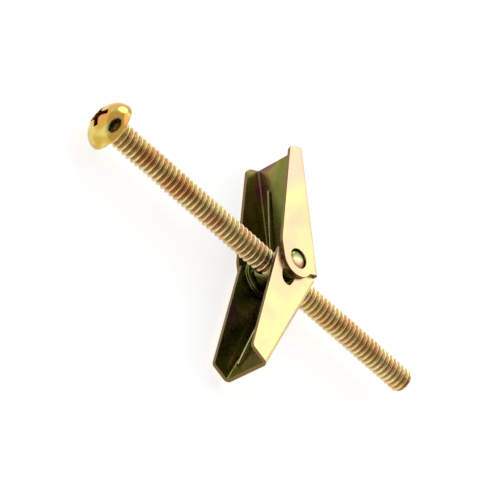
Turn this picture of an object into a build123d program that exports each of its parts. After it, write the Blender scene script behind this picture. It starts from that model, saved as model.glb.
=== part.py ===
from build123d import *
import math
import os

# Spring toggle bolt for hollow walls: a 3/16 in, 24 per inch machine screw 3 in long, a
# round trunnion nut on its thread, two folded sheet wings that hinge on the nut's pins,
# and a torsion spring that holds the wings open.
# Millimetres. The screw lies along X with its head's bearing face at X = 0 and its tip
# towards +X. The pivot axis of the wings is parallel to Z. The outer wing opens towards
# +Y and the inner wing towards -Y.

# ---- screw -------------------------------------------------------------------
SHANK_R = 2.38125          # 3/16 in thread, major diameter
LENGTH = 76.2              # 3 in under the head
TIP_CHAMFER = 0.6
HEAD_R = 4.76
HEAD_H = 3.9
HEAD_RIM = 0.3             # height of the upright band at the head's edge
RIM_ROUND = 0.3            # rounding between that band and the bearing face
RECESS_SPAN = 5.3          # cross recess, across two opposite arms
RECESS_W = 1.1
RECESS_DEEP = 2.3

# ---- torsion spring ----------------------------------------------------------
WIRE_R = 0.275
COIL_PITCH = 0.575
COIL_TURNS = 2             # whole turns; the legs' spread adds the rest
COIL_CLEAR = 0.125         # coil to the nut's barrel
LEG_OUT = 18.4             # reach of the leg along the outer wing
LEG_IN = 20.6
LEG_CLEAR = 0.04           # leg tip to the web that it presses on
LEG_DRIFT_OUT = 0.95       # sideways run of each leg towards the wing's middle
LEG_DRIFT_IN = -0.35

# ---- opening angles, from the head's direction -------------------------------
OUT_ANGLE = 65.0
IN_ANGLE = 77.0

# ---- nut and its pins --------------------------------------------------------
PIVOT_X = 41.0             # the pivot axis crosses the screw here
BORE_R = SHANK_R + 0.05
BARREL_R = BORE_R + 0.67   # round middle of the nut, threaded across
BARREL_HALF = BORE_R + 0.07
BARREL_EDGE = 0.25
JOURNAL_R = 2.5            # turned down, so the coil can tighten as the wings fold
PIN_R = 1.85               # stub pins that the wings hang on
PIN_BEVEL = 0.4
HOLE_R = PIN_R + 0.08
COIL_R = BARREL_R + COIL_CLEAR + WIRE_R
COIL_SWEEP = 360 * COIL_TURNS + (180 - OUT_ANGLE - IN_ANGLE)
COIL_HEIGHT = COIL_PITCH * COIL_SWEEP / 360 + 2 * WIRE_R
JOURNAL_HALF = BARREL_HALF + COIL_HEIGHT + 0.07

# ---- wings -------------------------------------------------------------------
SHEET = 0.7
FOLD_R = 1.0               # outside radius of both folds
REACH = 23.8               # pivot axis to the wing's tip, along the web
TIP_SLANT = 0.36           # the flange's free corner stops short of that
IN_HALF = JOURNAL_HALF + 0.07 + SHEET
OUT_HALF = IN_HALF + 0.15 + SHEET      # the inner wing runs inside the outer one
PIN_HALF = OUT_HALF + 0.15
OUT_WEB = COIL_R + WIRE_R + 0.525 + SHEET   # pivot axis to the outside of the web
IN_WEB = OUT_WEB + 0.8
HORN_TOP = OUT_WEB - SHEET - 0.16      # folded, the horn stops short of the other web
FREE_TIP = -1.45           # height of a flange's free edge at the tip
FREE_ROOT = HORN_TOP + 0.29            # and where its line passes the pivot
OUT_EAR_R = HOLE_R + 1.62
IN_EAR_R = HOLE_R + 1.07
OUT_END = -2.2             # the webs' ends past the pivot axis, which nearly meet
IN_END = -0.45
NOTCH_HALF = SHANK_R + 0.24            # the web's cut-out astride the screw
NOTCH_ROUND = 1.1
STOP_GAP = 0.03            # open, the cut-out's bottom bears on the screw


def free_edge(u):
    """Height of a flange's free edge above the pivot plane at u along the wing."""
    run = REACH - TIP_SLANT
    return FREE_ROOT + (FREE_TIP - FREE_ROOT) * u / run


def polar(radius, degrees):
    """Point at a radius and an angle about the pivot axis, in a wing's side view."""
    a = math.radians(degrees)
    return (radius * math.cos(a), radius * math.sin(a))


def trough(depth, half, radius):
    """Long block with two rounded lower edges, its bottom at Y = -depth."""
    top = 8.0
    start, length = -8.0, REACH + 12.0
    block = Pos(start + length / 2, (top - depth) / 2, 0) * Box(length, top + depth, 2 * half)
    lower = [e for e in block.edges().filter_by(Axis.X) if e.center().Y < 0.01 - depth]
    return fillet(lower, radius)


def channel(web, half, outline):
    """Folded sheet with its web at Y = -web and flanges at Z = +-half, cut to an outline.

    Local axes: X runs from the pivot to the tip, Y towards the open side and Z along
    the pivot axis.
    """
    outside = trough(web, half, FOLD_R)
    inside = trough(web - SHEET, half - SHEET, FOLD_R - SHEET)
    return (outside - inside) & extrude(outline, half + 1, both=True)


def notch(web, angle):
    """Cut-out that lets the web's end pass on both sides of the screw."""
    a = math.radians(angle)
    bottom = (SHANK_R + STOP_GAP - (web - SHEET) * math.cos(a)) / math.sin(a)
    length = 12.0
    cut = Pos(bottom - length / 2, -web, 0) * Box(length, 4 * SHEET, 2 * NOTCH_HALF)
    corners = [e for e in cut.edges().filter_by(Axis.Y) if e.center().X > bottom - 0.1]
    return fillet(corners, NOTCH_ROUND)


def round_tip(face, radius):
    """Rounds the flange's free corner at the wing's tip."""
    free = [v for v in face.vertices() if v.X > REACH / 2 and abs(v.Y - FREE_TIP) < 0.01]
    return fillet(free, radius)


def outer_outline():
    """Side view of the outer wing: a tapered flange and a round ear about the pivot."""
    brow = 3.0
    flange = make_face(Polyline(
        (OUT_END, -OUT_WEB), (REACH, -OUT_WEB), (REACH - TIP_SLANT, FREE_TIP),
        (brow, free_edge(brow)), polar(OUT_EAR_R, 93), polar(0.75 * OUT_EAR_R, 202),
        close=True,
    ))
    shape = round_tip(flange + Circle(OUT_EAR_R), 1.5)
    top = [v for v in shape.vertices() if abs(v.X - brow) < 0.01 and v.Y > 0]
    return fillet(top, 5.0) - Circle(HOLE_R)


def inner_outline(slotted=True):
    """Side view of the inner wing: an ear, a slot round it, and a horn at the free edge.

    Without the slot, the ear runs straight into the flange.
    """
    run = REACH - TIP_SLANT
    horn_u = run * (FREE_ROOT - HORN_TOP) / (FREE_ROOT - FREE_TIP)
    horn = (horn_u - 0.2, HORN_TOP)
    slot_start = polar(IN_EAR_R + 0.82, 78.5)
    # the slot's far side, as distance beyond the ear and angle about the pivot
    far_side = [(0.5, 56), (0.78, 27.5), (2.27, 9.3), (3.2, -4), (2.95, -15), (2.0, -21), (1.0, -26.5)]
    slot = Spline(slot_start, *[polar(IN_EAR_R + d, a) for d, a in far_side], polar(IN_EAR_R, -30))
    heel = polar(IN_EAR_R, 238)
    ear = [slot, ThreePointArc(polar(IN_EAR_R, -30), polar(IN_EAR_R, 104), heel)]
    if not slotted:
        brow = polar(IN_EAR_R, 110)
        ear = [Line(slot_start, brow), ThreePointArc(brow, polar(IN_EAR_R, 170), heel)]
    shape = make_face([
        Polyline((IN_END, -IN_WEB), (REACH, -IN_WEB), (run, FREE_TIP), (horn_u, HORN_TOP), horn,
                 slot_start),
        *ear,
        Polyline(heel, (IN_END, 1.1 - IN_WEB), (IN_END, -IN_WEB)),
    ])
    return round_tip(shape, 0.7) - Circle(HOLE_R)


def place(local, angle, side):
    """Turns a wing from its local axes to its open position on the nut."""
    a = math.radians(angle)
    at = Plane(origin=(PIVOT_X, 0, 0), x_dir=(-math.cos(a), side * math.sin(a), 0), z_dir=(0, 0, side))
    return at * local


def outer_wing():
    wing = channel(OUT_WEB, OUT_HALF, outer_outline()) - notch(OUT_WEB, OUT_ANGLE)
    return place(wing, OUT_ANGLE, 1)


def inner_wing():
    near = Pos(0, 0, -10) * Box(80, 80, 20)      # only the upper flange has the slot
    sheet = channel(IN_WEB, IN_HALF, inner_outline()) & near
    plain = channel(IN_WEB, IN_HALF, inner_outline(slotted=False)) - near
    wing = sheet + plain - notch(IN_WEB, IN_ANGLE)
    return place(wing, IN_ANGLE, -1)


def machine_screw():
    """Round head with a cross recess, and a shank at the thread's major diameter."""
    dome = HEAD_H - HEAD_RIM
    steps = [math.radians(15 * k) for k in range(7)]
    curve = [(-HEAD_RIM - dome * math.cos(a), HEAD_R * math.sin(a)) for a in steps]
    seat_r = HEAD_R - RIM_ROUND
    turn = RIM_ROUND * math.sqrt(0.5)
    profile = make_face([
        Spline(*curve, tangents=((0, 1), (1, 0))),
        ThreePointArc((-HEAD_RIM, HEAD_R), (turn - RIM_ROUND, seat_r + turn), (0, seat_r)),
        Polyline((0, seat_r), (0, SHANK_R), (LENGTH - TIP_CHAMFER, SHANK_R),
                 (LENGTH, SHANK_R - TIP_CHAMFER), (LENGTH, 0), (-HEAD_H, 0)),
    ])
    body = revolve(profile, Axis.X)
    floor = RECESS_DEEP - HEAD_H
    mouth = Plane(origin=(-HEAD_H - 0.3, 0, 0), x_dir=(0, 1, 0), z_dir=(1, 0, 0))
    bottom = Plane(origin=(floor, 0, 0), x_dir=(0, 1, 0), z_dir=(1, 0, 0))
    arm = loft([mouth * Rectangle(RECESS_SPAN + 0.3, RECESS_W + 0.06),
                bottom * Rectangle(0.4 * RECESS_SPAN, 0.7 * RECESS_W)])
    middle = Pos(floor - RECESS_DEEP / 2 + 0.5, 0, 0) * Rot(0, 90, 0) * Cone(1.25, 0.25, RECESS_DEEP + 1)
    return body - arm - Rot(90, 0, 0) * arm - middle


def trunnion_nut():
    """Turned nut: barrel threaded across for the screw, a journal and a pin at each end."""
    half = Polyline(
        (0, 0), (BARREL_R, 0), (BARREL_R, BARREL_HALF - BARREL_EDGE),
        (BARREL_R - BARREL_EDGE, BARREL_HALF), (JOURNAL_R, BARREL_HALF),
        (JOURNAL_R, JOURNAL_HALF), (PIN_R, JOURNAL_HALF), (PIN_R, PIN_HALF - PIN_BEVEL),
        (PIN_R - PIN_BEVEL, PIN_HALF), (0, PIN_HALF), close=True,
    )
    upper = revolve(make_face(Plane.XZ * half), Axis.Z)
    across = Rot(0, 90, 0)
    mouth = Pos(BARREL_R, 0, 0) * across * Cone(BORE_R - 0.1, BORE_R + 0.5, 0.6)
    body = upper + mirror(upper, Plane.XY) - across * Cylinder(BORE_R, 4 * BARREL_R)
    return Pos(PIVOT_X, 0, 0) * (body - mouth - mirror(mouth, Plane.YZ))


def leg(angle, side, reach, web, z_coil, drift):
    """Points of one leg, from its coil end to the tip that presses on the web."""
    a = math.radians(angle)
    tip_v = -(web - SHEET - WIRE_R - LEG_CLEAR)
    points = []
    for k in range(1, 7):
        u = reach * k / 6
        share = (k / 6) ** 1.5
        v = -COIL_R + (tip_v + COIL_R) * share
        points.append((PIVOT_X - u * math.cos(a) - v * math.sin(a),
                       side * (u * math.sin(a) - v * math.cos(a)), z_coil + drift * share))
    return points


def torsion_spring():
    """Round wire: a leg along the outer wing, the coil round the journal, a second leg."""
    low = WIRE_R + 0.085 - JOURNAL_HALF
    high = low + COIL_PITCH * COIL_SWEEP / 360
    steps = 44
    coil = []
    for k in range(steps + 1):
        turned = COIL_SWEEP * k / steps
        x, y = polar(COIL_R, 90 + OUT_ANGLE + turned)
        coil.append((PIVOT_X - x, y, low + (high - low) * k / steps))
    outer = leg(OUT_ANGLE, 1, LEG_OUT, OUT_WEB, low, LEG_DRIFT_OUT)
    inner = leg(IN_ANGLE, -1, LEG_IN, IN_WEB, high, LEG_DRIFT_IN)
    path = Spline(*outer[::-1], *coil, *inner)
    return sweep(Plane(origin=path @ 0, z_dir=path % 0) * Circle(WIRE_R), path)


PARTS = {
    "machine_screw": machine_screw,
    "trunnion_nut": trunnion_nut,
    "outer_wing": outer_wing,
    "inner_wing": inner_wing,
    "torsion_spring": torsion_spring,
}

os.makedirs("parts", exist_ok=True)
for name, make in PARTS.items():
    solid = make().solid()
    print(f"{name}: {solid.volume:.1f} mm3")
    export_step(solid, f"parts/{name}.step")
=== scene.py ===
# %% [markdown]
# # A spring toggle bolt in yellow chromate steel
# A toggle bolt hangs things on a hollow wall. A round nut rides on a long machine screw, and two
# folded sheet wings hinge on the nut. A torsion spring holds them open, so they can be squeezed
# shut, pushed through a hole and left to spring open behind the wall.
# The construction model already holds every piece at its real size. This script gives them their
# looks: a real thread, rounded sheet edges, a spring of round wire, and the gold film on the zinc.

# %% The frame
import math

import bmesh
import bpy
import numpy as np
from mathutils import Matrix, Vector


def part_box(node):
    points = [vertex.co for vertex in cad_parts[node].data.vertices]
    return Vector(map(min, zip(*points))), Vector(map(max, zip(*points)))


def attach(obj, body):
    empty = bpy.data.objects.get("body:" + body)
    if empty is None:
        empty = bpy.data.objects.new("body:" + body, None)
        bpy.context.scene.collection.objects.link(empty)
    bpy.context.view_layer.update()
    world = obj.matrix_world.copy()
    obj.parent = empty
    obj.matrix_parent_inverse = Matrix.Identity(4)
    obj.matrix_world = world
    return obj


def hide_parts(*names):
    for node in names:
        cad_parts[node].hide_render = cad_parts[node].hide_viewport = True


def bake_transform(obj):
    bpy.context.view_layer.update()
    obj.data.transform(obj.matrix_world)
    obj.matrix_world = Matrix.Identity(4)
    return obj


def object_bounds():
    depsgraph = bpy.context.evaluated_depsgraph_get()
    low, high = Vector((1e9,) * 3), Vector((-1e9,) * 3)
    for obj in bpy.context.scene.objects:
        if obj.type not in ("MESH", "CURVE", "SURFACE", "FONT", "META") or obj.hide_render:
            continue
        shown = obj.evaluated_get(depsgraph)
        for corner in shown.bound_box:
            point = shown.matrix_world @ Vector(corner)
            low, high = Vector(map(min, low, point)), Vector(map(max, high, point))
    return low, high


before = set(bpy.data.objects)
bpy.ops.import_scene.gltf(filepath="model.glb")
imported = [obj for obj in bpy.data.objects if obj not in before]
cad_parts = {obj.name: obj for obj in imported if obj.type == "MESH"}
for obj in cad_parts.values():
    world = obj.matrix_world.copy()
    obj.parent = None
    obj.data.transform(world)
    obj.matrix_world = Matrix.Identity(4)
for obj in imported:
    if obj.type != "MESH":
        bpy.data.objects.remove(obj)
cad_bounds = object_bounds()
MM = 0.001
print("pieces in the frame:", ", ".join(sorted(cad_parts)))

# %% [markdown]
# ## Where things are
# Sizes that the construction model knows are read from it, so nothing here can drift away from it.
# The screw runs along X, the wings' pivot axis along Z, and the outer wing opens towards +Y.

# %% Driving sizes
nut_low, nut_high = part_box("trunnion_nut")
screw_low, screw_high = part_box("machine_screw")
spring_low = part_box("torsion_spring")[0]
PIVOT = Vector(((nut_low.x + nut_high.x) / 2, 0, 0))
SHANK_R = 2.38125 * MM      # 3/16 in thread
PITCH = 25.4 / 24 * MM      # 24 threads to the inch
SHANK_END = screw_high.x
OPEN_OUTER = math.radians(65)
OPEN_INNER = math.radians(77)
print(f"pivot at {PIVOT.x / MM:.2f} mm, shank {SHANK_END / MM:.1f} mm long")

# %% [markdown]
# ## Small tools
# A surface is a grid of points: rings of points, one after another along a path. Numpy works out
# the whole grid at once, and one helper turns it into a mesh with closed ends.

# %% Tube helper


def tube(name, rings):
    """Skin over rings of points, shape (rings, points, 3), with a fan of triangles on each end.

    Neighbouring rings are joined by quads that wrap round, and each end fans to its centre.
    """
    count, around = rings.shape[:2]
    points = np.vstack([rings.reshape(-1, 3), rings[0].mean(0), rings[-1].mean(0)])
    row, col = np.meshgrid(np.arange(count - 1), np.arange(around), indexing="ij")
    nxt = (col + 1) % around
    quads = np.stack([row * around + col, row * around + nxt,
                      (row + 1) * around + nxt, (row + 1) * around + col], -1).reshape(-1, 4)
    ring = np.arange(around)
    after = (ring + 1) % around
    first, last = count * around, count * around + 1
    start = np.stack([after, ring, np.full(around, first)], 1)
    base = (count - 1) * around
    end = np.stack([base + ring, base + after, np.full(around, last)], 1)
    mesh = bpy.data.meshes.new(name)
    mesh.from_pydata(points.tolist(), [], quads.tolist() + start.tolist() + end.tolist())
    mesh.shade_smooth()
    piece = bpy.data.objects.new(name, mesh)
    bpy.context.scene.collection.objects.link(piece)
    return piece


def point_in(values, piece, name):
    """Stores one number for each vertex, for a material to read."""
    layer = piece.data.attributes.new(name, "FLOAT", "POINT")
    layer.data.foreach_set("value", np.asarray(values, np.float32))


def outward(piece):
    """Recalculates a closed mesh's normals so that every face points out."""
    shape = bmesh.new()
    shape.from_mesh(piece.data)
    bmesh.ops.recalc_face_normals(shape, faces=shape.faces)
    shape.to_mesh(piece.data)
    shape.free()


# %% [markdown]
# ## The thread
# On the real screw the thread is rolled: dies press a helical groove into a plain wire, and the
# metal rises into the crests beside it. It could be made with a Screw modifier, but a formula is
# shorter and easier to control. Each point of the shank has a distance along the screw and an angle
# round it. Subtract the share of a turn from the share of a pitch, and what is left says whether
# the point is on a crest or in a groove.

# %% Thread surface
THREAD_DEPTH = 0.52 * MM
CREST_FLAT = 0.13           # share of the pitch that is flat on the crest, and in the root
COLLAR = 0.45 * MM          # plain stretch under the head
RUN_IN = 1.3 * MM           # the groove deepens over this length
TIP_BEVEL = 0.6 * MM


def thread_radius(x, turn):
    """Radius at a distance x along the screw and an angle in turns, and how deep the groove is there.

    The groove is a triangle wave of the helix phase, flattened at crest and root, then eased so
    that both are slightly round. It fades in under the head, and a cone trims it at the tip.
    """
    phase = (x / PITCH - turn) % 1.0
    wave = np.abs(2 * phase - 1)
    groove = np.clip((wave - CREST_FLAT) / (1 - 2 * CREST_FLAT), 0, 1)
    groove = 0.55 * groove + 0.45 * groove**2 * (3 - 2 * groove)
    fade = np.clip((x - COLLAR) / RUN_IN, 0, 1)
    cone = SHANK_R - np.clip(x - (SHANK_END - TIP_BEVEL), 0, None)
    return np.minimum(SHANK_R - THREAD_DEPTH * groove * fade, cone), groove * fade


STEPS_PER_PITCH = 14
AROUND = 48
along = np.linspace(0.1 * MM, SHANK_END, int(STEPS_PER_PITCH * SHANK_END / PITCH))
turns = np.arange(AROUND) / AROUND
X, TURN = np.meshgrid(along, turns, indexing="ij")
radius, groove = thread_radius(X, TURN)
angle = 2 * np.pi * TURN
thread = tube("screw_thread", np.stack([X, radius * np.cos(angle), radius * np.sin(angle)], -1))
point_in(np.append(groove.ravel(), [0, 0]), thread, "groove")
outward(thread)
thread.data.set_sharp_from_angle(angle=math.radians(40))
print(f"thread: {len(thread.data.polygons)} faces, {(SHANK_END - COLLAR) / PITCH:.0f} turns")

# %% [markdown]
# ## The head
# The head is struck cold from the wire's end, and a cross-shaped punch presses the recess at the
# same time. A polished dome mirrors the whole studio, so any flat facet in it shows. The surface is
# therefore computed finely, as rings from the middle out: the dome's height, and where the punch
# went deeper, the punch's shape in its place. The recess is painted brown, as painted shade for the
# shade inside it, so each point also stores whether the punch made it.

# %% Dome and recess
HEAD_R = screw_high.y
HEAD_H = -screw_low.x
BAND = 0.3 * MM             # upright band and rounding at the edge
ARM_SPAN, ARM_WIDTH, PUNCH_DEEP = 5.6 * MM, 1.16 * MM, 2.6 * MM
MOUTH_RISE = 0.3 * MM       # the punch's arms start this far above the dome's top
FLANK_RUN, END_RUN = 0.09, 0.67     # sideways run for each unit of depth
CONE_R, CONE_SLOPE = 1.25 * MM, 2.4
UNDER_RINGS = [3.2 * MM, 1.9 * MM]  # radii of the rings on the flat underside


def punch_floor(y, z):
    """How far along the screw the cross-shaped punch reached at a point across the head.

    Each arm is a wedge: nearly upright flanks and ends that slope. A cone deepens the middle.
    """
    mouth = -HEAD_H - MOUTH_RISE
    floors = []
    for length, across in ((y, z), (z, y)):
        flank = (ARM_WIDTH / 2 - np.abs(across)) / FLANK_RUN
        end = (ARM_SPAN / 2 - np.abs(length)) / END_RUN
        floors.append(np.clip(np.minimum(flank, end), 0, PUNCH_DEEP))
    cone = np.clip((CONE_R - np.hypot(y, z)) * CONE_SLOPE, 0, PUNCH_DEEP)
    return mouth + np.maximum(np.maximum(*floors), cone)


def head_surface(rings=170, around=320):
    """Points of the head, and which of them the punch made.

    The rings run from the middle out: an ellipsoid cut by the punch, the edge, then the underside.
    """
    t = np.linspace(0.004, np.pi / 2, rings)
    phi = np.linspace(0, 2 * np.pi, around, endpoint=False)
    r = HEAD_R * np.sin(t)[:, None] * np.ones(around)
    dome = -BAND - (HEAD_H - BAND) * np.cos(t)[:, None] * np.ones(around)
    x = np.maximum(dome, punch_floor(r * np.cos(phi), r * np.sin(phi)))
    edge = np.linspace(0, np.pi / 2, 8)[1:]
    edge_r = np.append(HEAD_R - BAND * (1 - np.cos(edge)), UNDER_RINGS)
    edge_x = np.append(-BAND + BAND * np.sin(edge), [0, 0])
    r = np.vstack([r, edge_r[:, None] * np.ones(around)])
    punched = np.vstack([x > dome + 0.02 * MM, np.zeros((len(edge_r), around), bool)])
    x = np.vstack([x, edge_x[:, None] * np.ones(around)])
    return np.stack([x, r * np.cos(phi), r * np.sin(phi)], -1), punched


grid, punched = head_surface()
head = tube("screw_head", grid)
point_in(np.append(punched.ravel(), [1, 0]), head, "recess")
outward(head)
head.data.set_sharp_from_angle(angle=math.radians(40))
print(f"head: {len(head.data.polygons)} faces, {2 * HEAD_R / MM:.2f} mm across")

# %% [markdown]
# ## The nut and the sheet wings
# The construction model's nut and wings have the right shape already: the bore, the folds, the
# ears, the slot and the cut-out astride the screw. What they lack is the small rounding that
# every pressed or punched edge has, and without it an edge catches no light. So each gets a copy:
# its loose triangles are merged, flat areas become single faces, and a Bevel modifier rounds only
# the sharp edges.

# %% Copies with rounded edges


def rounded_copy(node, name, width, cuts=()):
    """Copy of a construction piece with merged triangles and its sharp edges rounded by width.

    Each cut is a point and a direction, and what lies beyond the point is cut away.
    """
    shape = bmesh.new()
    shape.from_mesh(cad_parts[node].data)
    bmesh.ops.remove_doubles(shape, verts=shape.verts, dist=0.5e-6)
    for point, direction in cuts:
        everything = shape.verts[:] + shape.edges[:] + shape.faces[:]
        bmesh.ops.bisect_plane(shape, geom=everything, plane_co=point,
                               plane_no=direction, clear_outer=True)
        rim = [e for e in shape.edges if e.is_boundary]
        bmesh.ops.holes_fill(shape, edges=rim)
    bmesh.ops.dissolve_limit(shape, angle_limit=math.radians(0.6), verts=shape.verts,
                             edges=shape.edges)
    mesh = bpy.data.meshes.new(name)
    shape.to_mesh(mesh)
    shape.free()
    piece = bpy.data.objects.new(name, mesh)
    bpy.context.scene.collection.objects.link(piece)
    mesh.shade_smooth()
    mesh.set_sharp_from_angle(angle=math.radians(35))
    bevel = piece.modifiers.new("rounded edges", "BEVEL")
    bevel.width = width
    bevel.segments = 2
    bevel.limit_method = "ANGLE"
    bevel.angle_limit = math.radians(40)
    bevel.harden_normals = True
    return piece


outer_wing = rounded_copy("outer_wing", "outer_wing_sheet", 0.09 * MM)
inner_wing = rounded_copy("inner_wing", "inner_wing_sheet", 0.09 * MM)
PIN_CUT = 5.4 * MM
nut = rounded_copy("trunnion_nut", "nut_turned", 0.07 * MM,
                   cuts=[((0, 0, PIN_CUT), (0, 0, 1)), ((0, 0, -PIN_CUT), (0, 0, -1))])
for piece in (outer_wing, inner_wing, nut):
    print(f"{piece.name}: {len(piece.data.polygons)} faces before its bevel")

# %% [markdown]
# ### The pins' ends
# The nut's two pins end in low domes, which a hammer or a press leaves when it peens them. Each is
# a profile turned round the pivot axis: a straight stretch, then a cap that falls away to the
# edge. A dome mirrors light and dark side by side, where a flat end shows a single tone.

# %% Domed pins
PIN_R = 1.813 * MM          # 0.12 mm clear of the wing's hole all round
CAP_FALL = 0.6 * MM         # from the middle of the dome to its edge
PIN_SIDES = 48


def domed_pin(name, side):
    """Profile turned round the pivot axis: a cylinder, and a cap that falls off as r to the 2.6."""
    share = np.sqrt(np.linspace(1, 0.0004, 22))
    r = PIN_R * np.append([1, 1], share)
    top = nut_high.z - 0.02 * MM
    z = np.append([PIN_CUT - 0.3 * MM, PIN_CUT + 0.05 * MM], top - CAP_FALL * share**2.6)
    a = np.linspace(0, 2 * np.pi, PIN_SIDES, endpoint=False)
    rings = np.stack([PIVOT.x + r[:, None] * np.cos(a), r[:, None] * np.sin(a),
                      np.broadcast_to(side * z[:, None], (len(r), PIN_SIDES))], -1)
    piece = tube(name, rings)
    outward(piece)
    return piece


pin_near = domed_pin("pin_end_upper", 1)
pin_far = domed_pin("pin_end_lower", -1)
print(f"pin ends reach {nut_high.z / MM:.2f} mm from the screw's centre line")

# %% [markdown]
# ### Inside, outside and cut edges of a channel
# The film on the open outside of the wings is pale gold. Deep in the channels its olive and brown
# tints are painted dark: painted shade for the little light that reaches in there. The punched
# edges are coloured a darker pinkish brown.
# Each face of a wing gets two numbers, one for the inside of the channel and one for its cut edges,
# and the material blends the three colours with them.

# %% Mark the channels' inside
SHEET = 0.7 * MM            # thickness of the wings' steel


def mark_inside(piece, opening, side):
    """Face attribute: 1 where a face looks into the channel, 0 where it looks out.

    A face looks in when it lies a sheet's thickness in from the outside of a flange and points
    back to the middle, or lies on the web and points to the open side.
    """
    mesh = piece.data
    count = len(mesh.polygons)
    centre = np.empty(count * 3)
    normal = np.empty(count * 3)
    mesh.polygons.foreach_get("center", centre)
    mesh.polygons.foreach_get("normal", normal)
    centre, normal = centre.reshape(-1, 3), normal.reshape(-1, 3)
    half = np.abs(centre[:, 2]).max()       # the outside of a flange
    open_way = np.array([-math.sin(opening), -side * math.cos(opening), 0])
    height = np.abs(centre[:, 2])
    flange = (normal[:, 2] * np.sign(centre[:, 2]) < -0.5) & (height < half - 0.4 * SHEET)
    web = (normal @ open_way > 0.5) & (height < half - SHEET)
    along = np.array([-math.cos(opening), side * math.sin(opening), 0])
    in_flange = height > half - 1.02 * SHEET
    edge = (np.abs(normal[:, 2]) < 0.2) & (
        (np.abs(normal @ along) > 0.5) | (in_flange & (normal @ open_way > -0.5)))
    # the inside mask picks the faces that the material paints in shade
    for name, faces in (("inside", flange | web), ("cut_edge", edge)):
        layer = mesh.attributes.new(name, "FLOAT", "FACE")
        layer.data.foreach_set("value", faces.astype(np.float32))
    return int((flange | web).sum())


print("faces inside the outer wing:", mark_inside(outer_wing, OPEN_OUTER, 1))
print("faces inside the inner wing:", mark_inside(inner_wing, OPEN_INNER, -1))

# %% [markdown]
# ## The torsion spring
# One wire: a leg lies along the outer wing, two turns wind round the nut's journal, and a second leg
# lies along the inner wing. When the wings fold, the legs turn with them and the coil winds tighter.
# So the spring is made in four lengths. Each leg rides on its wing. The two halves of the coil ride
# on no body and stay as they are made.

# %% Wire along a path
WIRE_R = 0.275 * MM
COIL_R = 3.5 * MM           # pivot axis to the middle of the wire
WEB_OUTER = 5.0 * MM        # pivot axis to the outside of each wing's web
WEB_INNER = 5.8 * MM
REACH_OUTER = 18.4 * MM     # how far each leg runs along its wing
REACH_INNER = 20.6 * MM
DRIFT_OUTER = 0.95 * MM     # how far each leg's tip runs sideways
DRIFT_INNER = -0.35 * MM
LEG_CLEAR = 0.04 * MM       # leg tip to the web that it presses on
low_z = spring_low.z + WIRE_R
COIL_PITCH = 0.575 * MM     # from turn to turn, a little over the wire's thickness
SWEEP = 5 * math.pi - OPEN_OUTER - OPEN_INNER       # two turns, and what the legs' spread adds
COIL_RISE = COIL_PITCH * SWEEP / (2 * math.pi)
high_z = low_z + COIL_RISE


def wire(name, path, sides=14):
    """Round wire along a path: a circle carried square to the path's direction.

    Each circle's two axes are the pivot axis made square to the path, and their cross product.
    """
    tangent = np.gradient(path, axis=0)
    tangent /= np.linalg.norm(tangent, axis=1)[:, None]
    across = np.array([0, 0, 1.0]) - tangent * tangent[:, 2:3]
    across /= np.linalg.norm(across, axis=1)[:, None]
    other = np.cross(tangent, across)
    a = np.linspace(0, 2 * np.pi, sides, endpoint=False)
    rings = (path[:, None] + WIRE_R * (np.cos(a)[None, :, None] * across[:, None]
                                       + np.sin(a)[None, :, None] * other[:, None]))
    piece = tube(name, rings)
    outward(piece)
    piece.data.set_sharp_from_angle(angle=math.radians(60))
    return piece


def coil_points(from_share, to_share, steps):
    """Helix round the pivot axis: angle and height both grow evenly from end to end."""
    share = np.linspace(from_share, to_share, steps)
    turned = math.pi / 2 + OPEN_OUTER + SWEEP * share
    return np.stack([PIVOT.x - COIL_R * np.cos(turned), COIL_R * np.sin(turned),
                     low_z + COIL_RISE * share], -1)


def leg_points(opening, side, reach, web, z_start, drift, steps=40):
    """A leg leaves the coil along its wing and leans over onto the web.

    The lean and the sideways drift both grow with the 1.5th power of the distance.
    """
    share = np.linspace(0, 1, steps)
    u = reach * share
    tip_v = -(web - SHEET - WIRE_R - LEG_CLEAR)
    v = -COIL_R + (tip_v + COIL_R) * share**1.5
    return np.stack([PIVOT.x - u * math.cos(opening) - v * math.sin(opening),
                     side * (u * math.sin(opening) - v * math.cos(opening)),
                     z_start + drift * share**1.5], -1)


HALF_STEPS = 90
coil_outer = wire("spring_coil_outer", coil_points(0.0, 0.5, HALF_STEPS))
coil_inner = wire("spring_coil_inner", coil_points(0.5, 1.0, HALF_STEPS))
leg_outer = wire("spring_leg_outer", leg_points(
    OPEN_OUTER, 1, REACH_OUTER, WEB_OUTER, low_z, DRIFT_OUTER))
leg_inner = wire("spring_leg_inner", leg_points(
    OPEN_INNER, -1, REACH_INNER, WEB_INNER, high_z, DRIFT_INNER))
print(f"coil: {SWEEP / (2 * math.pi):.2f} turns, {2 * (COIL_R + WIRE_R) / MM:.2f} mm across")

# %% [markdown]
# ## Colours and material nodes
# Screens give colours as sRGB hex, and Blender works in linear light, so one function turns one into
# the other. A second small function adds a node, sets its values and makes its links.

# %% Material helpers


def linear(hex_colour):
    """sRGB hex to linear RGBA: each channel through the standard curve."""
    channels = [int(hex_colour[i:i + 2], 16) / 255 for i in (1, 3, 5)]
    return [c / 12.92 if c <= 0.04045 else ((c + 0.055) / 1.055) ** 2.4 for c in channels] + [1.0]


def add(tree, kind, inputs=None, **settings):
    """Adds a node. inputs maps a socket's name or number to a value or to another socket."""
    made = tree.nodes.new(kind)
    for key, value in settings.items():
        setattr(made, key, value)
    for key, value in (inputs or {}).items():
        socket = made.inputs[key]
        if isinstance(value, bpy.types.NodeSocket):
            tree.links.new(value, socket)
        else:
            socket.default_value = value
    return made


def ramp(tree, factor, stops):
    """Colour ramp from (position, hex) stops."""
    made = add(tree, "ShaderNodeValToRGB", {"Fac": factor})
    band = made.color_ramp
    while len(band.elements) < len(stops):
        band.elements.new(0.5)
    for element, (position, colour) in zip(band.elements, stops):
        element.position = position
        element.color = linear(colour)
    return made.outputs["Color"]


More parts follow.
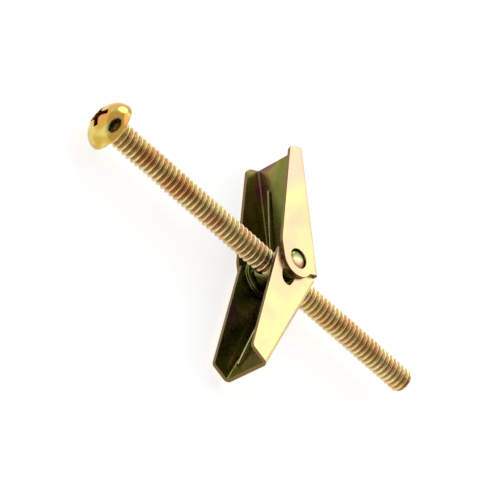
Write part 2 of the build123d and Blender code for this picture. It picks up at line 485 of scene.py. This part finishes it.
def mix(tree, factor, a, b):
    """Colour a where factor is 0 and b where it is 1."""
    made = add(tree, "ShaderNodeMix", data_type="RGBA")
    for index, value in ((0, factor), (6, a), (7, b)):
        if isinstance(value, bpy.types.NodeSocket):
            tree.links.new(value, made.inputs[index])
        else:
            made.inputs[index].default_value = value
    return made.outputs[2]


def spread(tree, value, low, high, to_low, to_high):
    """Carries a value from one range to another, without leaving the second."""
    return add(tree, "ShaderNodeMapRange", {"Value": value, "From Min": low, "From Max": high,
                                            "To Min": to_low, "To Max": to_high}).outputs["Result"]


def new_material(name):
    """An empty node material and its tree."""
    made = bpy.data.materials.new(name)
    made.use_nodes = True
    made.node_tree.nodes.clear()
    return made, made.node_tree


def noise(tree, coords, size, detail=3.0, rough=0.5, warp=0.0):
    """Noise whose blotches are about size metres across."""
    return add(tree, "ShaderNodeTexNoise", {"Vector": coords, "Scale": 1 / size, "Detail": detail,
                                            "Roughness": rough, "Distortion": warp}).outputs["Fac"]


# %% [markdown]
# ## Yellow chromate on zinc
# Zinc plated steel is dipped in a chromate bath that leaves a film a few hundred nanometres thick.
# The film is thin enough for interference, so it drifts between gold, straw, pink and green
# where its thickness drifts. The metal under it stays a metal: full metallic, default IOR, a
# roughness near 0.3. The drift is a slow noise a few millimetres across, run through a ramp of the
# film's own colours.

# %% Wing sheet material


def chromated_sheet():
    """Cold-rolled sheet, punched, folded, zinc plated and chromated: smooth, softly blotched."""
    made, tree = new_material("yellow chromated sheet steel")
    coords = add(tree, "ShaderNodeTexCoord").outputs["Object"]
    drift = noise(tree, coords, 12 * MM, detail=2.0, warp=0.3)
    outside = ramp(tree, drift, [(0.34, "#F8D2B0"), (0.43, "#F3DCA6"), (0.50, "#FBE7A0"),
                                 (0.58, "#F1DDA2"), (0.68, "#F6CFA6")])
    # painted shade: the inside of the channel is coloured dark olive and brown for the shade there
    deep = noise(tree, coords, 8 * MM, detail=1.5, warp=0.3)
    painted_channel_shade = ramp(tree, deep, [(0.32, "#7A5030"), (0.42, "#857A3A"), (0.50, "#747C38"),
                               (0.59, "#968848"), (0.70, "#84525A")])
    inside = add(tree, "ShaderNodeAttribute", attribute_name="inside").outputs["Fac"]
    colour = mix(tree, inside, outside, painted_channel_shade)
    cut = add(tree, "ShaderNodeAttribute", attribute_name="cut_edge").outputs["Fac"]
    colour = mix(tree, cut, colour, linear("#80663F"))
    grain = noise(tree, coords, 0.35 * MM, detail=4)
    rough = spread(tree, grain, 0.35, 0.65, 0.26, 0.38)
    # rolled sheet has a faint orange peel about a third of a millimetre across
    bump = add(tree, "ShaderNodeBump", {"Height": grain, "Strength": 0.12, "Distance": 0.01 * MM})
    shader = add(tree, "ShaderNodeBsdfPrincipled", {
        "Base Color": colour, "Metallic": 1.0, "Roughness": rough, "Normal": bump.outputs["Normal"]})
    add(tree, "ShaderNodeOutputMaterial", {"Surface": shader.outputs["BSDF"]})
    return made


sheet_steel = chromated_sheet()
print("made", sheet_steel.name)

# %% [markdown]
# ### The screw
# Rolled threads and a cold-headed dome are brighter and a little deeper gold than the sheet. The
# grooves are painted brown, the deeper the darker: painted shade for the shade that falls in them.
# The groove attribute, made with the thread, says how deep a point lies.

# %% Screw materials


def chromated_screw(name, stops, painted_groove_shade=False, painted_recess_shade=False, polish=0.2):
    """Cold-headed and rolled steel wire, zinc plated and chromated."""
    made, tree = new_material(name)
    coords = add(tree, "ShaderNodeTexCoord").outputs["Object"]
    drift = noise(tree, coords, 5 * MM, detail=2.0, warp=0.5)
    colour = ramp(tree, drift, stops)
    if painted_groove_shade:
        # painted shade: the grooves are coloured brown, the deeper the darker
        depth = add(tree, "ShaderNodeAttribute", attribute_name="groove").outputs["Fac"]
        shade = spread(tree, depth, 0.25, 1.0, 0.0, 0.85)
        colour = mix(tree, shade, colour, linear("#7A4A1E"))
    if painted_recess_shade:
        # painted shade: the punched recess is coloured brown
        cut = add(tree, "ShaderNodeAttribute", attribute_name="recess").outputs["Fac"]
        colour = mix(tree, cut, colour, linear("#A0683C"))
    grain = noise(tree, coords, 0.25 * MM, detail=3)
    rough = spread(tree, grain, 0.35, 0.65, polish, polish + 0.12)
    bump = add(tree, "ShaderNodeBump", {"Height": grain, "Strength": 0.1, "Distance": 0.01 * MM})
    shader = add(tree, "ShaderNodeBsdfPrincipled", {
        "Base Color": colour, "Metallic": 1.0, "Roughness": rough, "Normal": bump.outputs["Normal"]})
    add(tree, "ShaderNodeOutputMaterial", {"Surface": shader.outputs["BSDF"]})
    return made


head_steel = chromated_screw("yellow chromated screw head", [
    (0.34, "#E09A58"), (0.46, "#D2AA48"), (0.56, "#E2D274"), (0.68, "#E0A868")], painted_recess_shade=True, polish=0.1)
thread_steel = chromated_screw("yellow chromated rolled thread", [
    (0.32, "#E8B88A"), (0.44, "#EFDDA8"), (0.55, "#E6D294"), (0.66, "#E4B27E")], painted_groove_shade=True)
# painted shade: the film's olive tint on the nut is painted darker for its place between the wings
nut_steel = chromated_screw("yellow chromated turned nut, painted shade", [
    (0.34, "#9C8E54"), (0.48, "#7F8448"), (0.60, "#6C7A3C"), (0.72, "#96804E")])
pin_steel = chromated_screw("yellow chromated peened pin", [
    (0.36, "#6F7F3E"), (0.47, "#B9B878"), (0.56, "#F0E6B4"), (0.66, "#D8A884")], polish=0.12)
# painted shade: the coil, deep between the wings, is coloured darker olive than the legs
coil_steel = chromated_screw("spring wire with painted coil shade", [
    (0.34, "#5E6A3A"), (0.50, "#77824E"), (0.64, "#6A6A3C")])
spring_steel = chromated_screw("plated spring wire", [
    (0.34, "#B8AC84"), (0.50, "#A8A478"), (0.64, "#C0B48C")])
print("made", head_steel.name, "and five more")

# %% [markdown]
# ## Dress the pieces and tie them to their bodies
# A piece that stands for a construction piece hides it, rides on the same body and takes the
# material listed beside it. The coil halves ride on no body and stay at rest.

# %% Finishes and bodies
DRESS = (
    (thread, thread_steel, "screw", "screw_steel", "machine_screw"),
    (head, head_steel, "screw", "screw_steel", "machine_screw"),
    (nut, nut_steel, "nut", "nut_steel", "trunnion_nut"),
    (pin_near, pin_steel, "nut", "nut_steel", "trunnion_nut"),
    (pin_far, pin_steel, "nut", "nut_steel", "trunnion_nut"),
    (outer_wing, sheet_steel, "outer_wing_body", "wing_steel", "outer_wing"),
    (inner_wing, sheet_steel, "inner_wing_body", "wing_steel", "inner_wing"),
    (leg_outer, spring_steel, "outer_wing_body", "spring_steel", "torsion_spring"),
    (leg_inner, spring_steel, "inner_wing_body", "spring_steel", "torsion_spring"),
    (coil_outer, coil_steel, None, "spring_steel", "torsion_spring"),
    (coil_inner, coil_steel, None, "spring_steel", "torsion_spring"),
)
for piece, material, body, slot, node in DRESS:
    piece.data.materials.clear()
    piece.data.materials.append(material)
    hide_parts(node)
    if body:
        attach(piece, body)
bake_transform(coil_outer)
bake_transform(coil_inner)
print(len(DRESS), "pieces dressed")

# %% [markdown]
# ## Floor, light and camera
# The part lies on its side on a white floor. The floor is lit, and a little of its own light is added
# for the camera and for reflections, so that it reads white and still keeps a soft shadow. Three soft
# boxes light the metal, and a dark flag stands where the dome of the head mirrors it.

# %% Floor and world
FLOOR_Z = cad_bounds[0][2]
FLOOR_GLOW = 0.67           # with the light that falls on it, the paper just reaches white
SKY_LIGHT = 0.42            # surroundings, as they light the part
SKY_MIRROR = 0.28           # added to that where the metal mirrors them


def flat_panel(name, size, centre, normal=(0, 0, 1), corners=4):
    """Flat panel of a given size across, facing along normal: square, or round with many corners."""
    turn = Vector(normal).to_track_quat("Z", "Y").to_matrix().to_4x4()
    a = (np.arange(corners) + 0.5) * 2 * np.pi / corners
    rim = np.stack([np.cos(a), np.sin(a), 0 * a], 1) * size / 2 / math.cos(math.pi / corners)
    mesh = bpy.data.meshes.new(name)
    mesh.from_pydata(rim.tolist(), [], [range(corners)])
    mesh.transform(Matrix.Translation(centre) @ turn)
    panel = bpy.data.objects.new(name, mesh)
    bpy.context.scene.collection.objects.link(panel)
    return panel


floor = flat_panel("floor", 8.0, (PIVOT.x, 0, FLOOR_Z))
paper, tree = new_material("white paper floor")
seen = add(tree, "ShaderNodeLightPath")
direct = add(tree, "ShaderNodeMath", {0: seen.outputs["Is Camera Ray"], 1: seen.outputs["Is Glossy Ray"]},
             operation="MAXIMUM")
any_view = add(tree, "ShaderNodeMath", {0: direct.outputs[0], 1: seen.outputs["Is Transmission Ray"]},
               operation="MAXIMUM")
glow = add(tree, "ShaderNodeMath", {0: any_view.outputs[0], 1: FLOOR_GLOW}, operation="MULTIPLY")
own_light = add(tree, "ShaderNodeEmission", {"Color": (1, 1, 1, 1), "Strength": glow.outputs[0]})
matt = add(tree, "ShaderNodeBsdfDiffuse", {"Color": (0.55, 0.55, 0.55, 1)})
both = add(tree, "ShaderNodeAddShader", {0: matt.outputs[0], 1: own_light.outputs[0]})
add(tree, "ShaderNodeOutputMaterial", {"Surface": both.outputs[0]})
floor.data.materials.append(paper)

world = bpy.data.worlds.new("studio")
bpy.context.scene.world = world
world.use_nodes = True
world.node_tree.nodes.clear()
# the surroundings are paler in the metal's mirror than as a light, and white to the camera
path = add(world.node_tree, "ShaderNodeLightPath")
mirror = add(world.node_tree, "ShaderNodeMath", {0: path.outputs["Is Glossy Ray"],
                                               1: SKY_MIRROR, 2: SKY_LIGHT}, operation="MULTIPLY_ADD")
open_sky = add(world.node_tree, "ShaderNodeMath", {0: path.outputs["Is Camera Ray"], 1: mirror.outputs[0]},
               operation="MAXIMUM")
sky = add(world.node_tree, "ShaderNodeBackground", {"Color": (1, 1, 1, 1), "Strength": open_sky.outputs[0]})
add(world.node_tree, "ShaderNodeOutputWorld", {"Surface": sky.outputs[0]})
print("floor at", round(FLOOR_Z / MM, 2), "mm")

# %% [markdown]
# ### The camera
# A long lens from 40 cm away keeps the screw nearly as thick at its tip as at its head, as a
# catalogue view does. The camera is built from two directions, towards itself and up, and their
# cross product gives the third axis, so no rotation has to be guessed.

# %% Camera
AIM = PIVOT + Vector((-5.26, 1.67, -1.80)) * MM
TO_CAMERA = Vector((-0.4225, -0.6676, 0.6130)).normalized()
CAMERA_UP = Vector((-0.5964, 0.7141, 0.3666))
DISTANCE = 402.9 * MM
right = CAMERA_UP.cross(TO_CAMERA).normalized()
up = TO_CAMERA.cross(right)
camera_data = bpy.data.cameras.new("camera")
camera_data.lens = 162.1
camera_data.sensor_width = 36.0
camera_data.clip_start = 0.01
camera = bpy.data.objects.new("camera", camera_data)
turn = Matrix((right, up, TO_CAMERA)).transposed().to_4x4()
camera.matrix_world = Matrix.Translation(AIM + TO_CAMERA * DISTANCE) @ turn
bpy.context.scene.collection.objects.link(camera)
bpy.context.scene.camera = camera
print("camera at", [round(c / MM, 1) for c in camera.matrix_world.translation], "mm")

# %% [markdown]
# ### The lamps
# Bright metal shows its surroundings more than its own colour, so the lamps are placed by what
# each face mirrors. The overhead one is mirrored by the flat flanges, the side one makes the
# highlight on the dome, and the front one brightens the thread's crests. Round lamps make round
# highlights. A lamp's power is kept low enough that the pale film doesn't clip to white.

# %% Lamps


def soft_box(name, direction, distance, size, power):
    """Round area lamp that looks at the part from a direction."""
    lamp = bpy.data.lights.new(name, "AREA")
    lamp.shape = "DISK"
    lamp.size = size
    lamp.energy = power
    made = bpy.data.objects.new(name, lamp)
    way = Vector(direction).normalized()
    made.location = AIM + way * distance
    made.rotation_euler = way.to_track_quat("Z", "Y").to_euler()
    bpy.context.scene.collection.objects.link(made)
    return made


soft_box("overhead soft box", (0.35, 0.55, 1.0), 0.9, 1.1, 2.1)
soft_box("side soft box", (-0.3, 0.85, 0.4), 0.9, 0.6, 1.9)
soft_box("front soft box", (-0.5, -0.5, 0.75), 1.2, 0.6, 1.1)

# a dark flag for the dome of the head to mirror, which only reflections see
flag = flat_panel("dark flag", 0.34, Vector((-0.165, -0.095, 0.175)), (0.63, 0.34, -0.7), corners=48)
felt, tree = new_material("black felt flag")
cloth = add(tree, "ShaderNodeBsdfDiffuse", {"Color": linear("#050504")})
add(tree, "ShaderNodeOutputMaterial", {"Surface": cloth.outputs[0]})
flag.data.materials.append(felt)
flag.visible_camera = flag.visible_diffuse = flag.visible_shadow = False
bpy.context.scene.view_settings.view_transform = "Standard"
print("three soft boxes and a dark flag")
